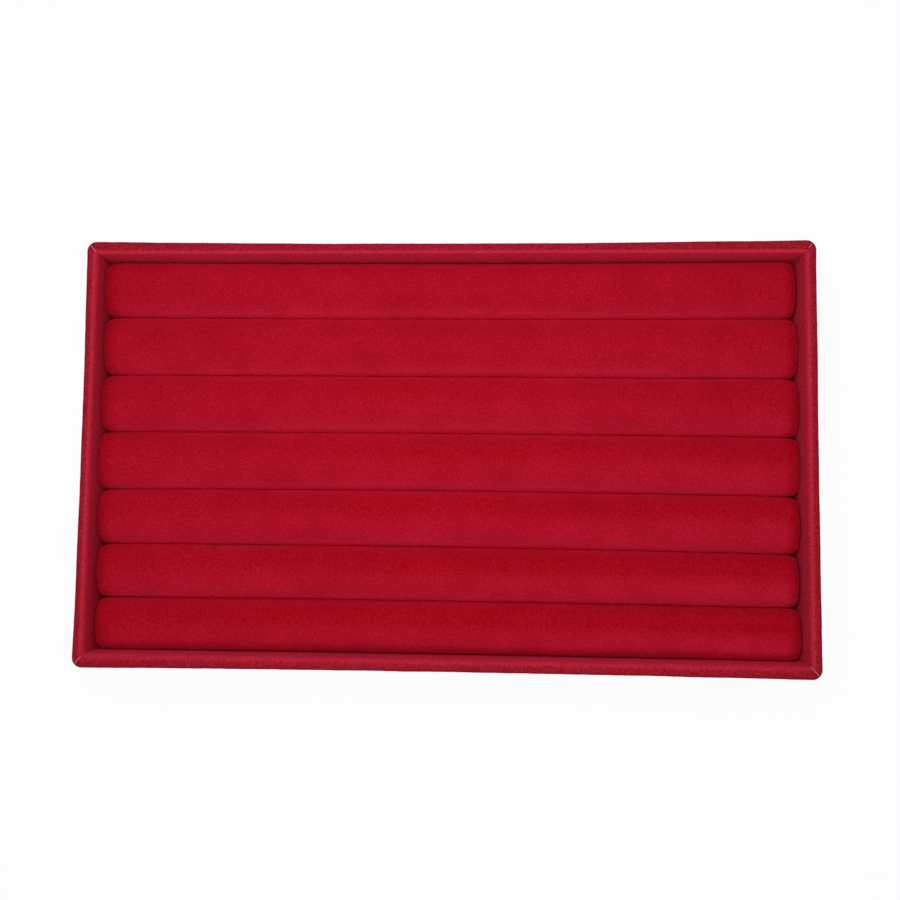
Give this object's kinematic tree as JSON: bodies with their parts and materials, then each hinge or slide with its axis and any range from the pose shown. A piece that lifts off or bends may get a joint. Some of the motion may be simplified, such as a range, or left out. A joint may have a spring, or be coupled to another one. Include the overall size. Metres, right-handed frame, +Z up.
{
  "type": "jewelry tray",
  "caption": "Shallow rectangular tray covered in velvet, with long upholstered foam rolls lying side by side; rings stand in the grooves between the rolls, and each roll lifts out.",
  "frame": {"origin": "middle of the underside, on the surface that the tray stands on", "axes": "+X along the rolls to the right, +Y from the front to the back, +Z up"},
  "size_m": [0.24, 0.14, 0.03],
  "materials": {
    "velvet": "matte",
    "fibreboard": "matte",
    "underside_felt": "matte",
    "foam": "matte",
    "greyboard": "matte"
  },
  "bodies": {
    "tray": {"underside_sheet": "underside_felt", "base_board": "fibreboard", "floor_lining": "velvet", "wall_board_front": "fibreboard", "wall_board_back": "fibreboard", "wall_board_left": "fibreboard", "wall_board_right": "fibreboard", "wall_cover_front": "velvet", "wall_cover_back": "velvet", "wall_cover_left": "velvet", "wall_cover_right": "velvet"},
    "ring_roll_1": {"roll_cover_1": "velvet", "roll_foam_1": "foam", "roll_card_1": "greyboard"},
    "ring_roll_2": {"roll_cover_2": "velvet", "roll_foam_2": "foam", "roll_card_2": "greyboard"},
    "ring_roll_3": {"roll_cover_3": "velvet", "roll_foam_3": "foam", "roll_card_3": "greyboard"},
    "ring_roll_4": {"roll_cover_4": "velvet", "roll_foam_4": "foam", "roll_card_4": "greyboard"},
    "ring_roll_5": {"roll_cover_5": "velvet", "roll_foam_5": "foam", "roll_card_5": "greyboard"},
    "ring_roll_6": {"roll_cover_6": "velvet", "roll_foam_6": "foam", "roll_card_6": "greyboard"},
    "ring_roll_7": {"roll_cover_7": "velvet", "roll_foam_7": "foam", "roll_card_7": "greyboard"}
  },
  "joints": [
    {"name": "ring_roll_1_lift", "type": "slide", "parent": "tray", "child": "ring_roll_1", "axis": [0, 0, 1], "range_m": [0, 0.035]},
    {"name": "ring_roll_2_lift", "type": "slide", "parent": "tray", "child": "ring_roll_2", "axis": [0, 0, 1], "range_m": [0, 0.035]},
    {"name": "ring_roll_3_lift", "type": "slide", "parent": "tray", "child": "ring_roll_3", "axis": [0, 0, 1], "range_m": [0, 0.035]},
    {"name": "ring_roll_4_lift", "type": "slide", "parent": "tray", "child": "ring_roll_4", "axis": [0, 0, 1], "range_m": [0, 0.035]},
    {"name": "ring_roll_5_lift", "type": "slide", "parent": "tray", "child": "ring_roll_5", "axis": [0, 0, 1], "range_m": [0, 0.035]},
    {"name": "ring_roll_6_lift", "type": "slide", "parent": "tray", "child": "ring_roll_6", "axis": [0, 0, 1], "range_m": [0, 0.035]},
    {"name": "ring_roll_7_lift", "type": "slide", "parent": "tray", "child": "ring_roll_7", "axis": [0, 0, 1], "range_m": [0, 0.035]}
  ]
}
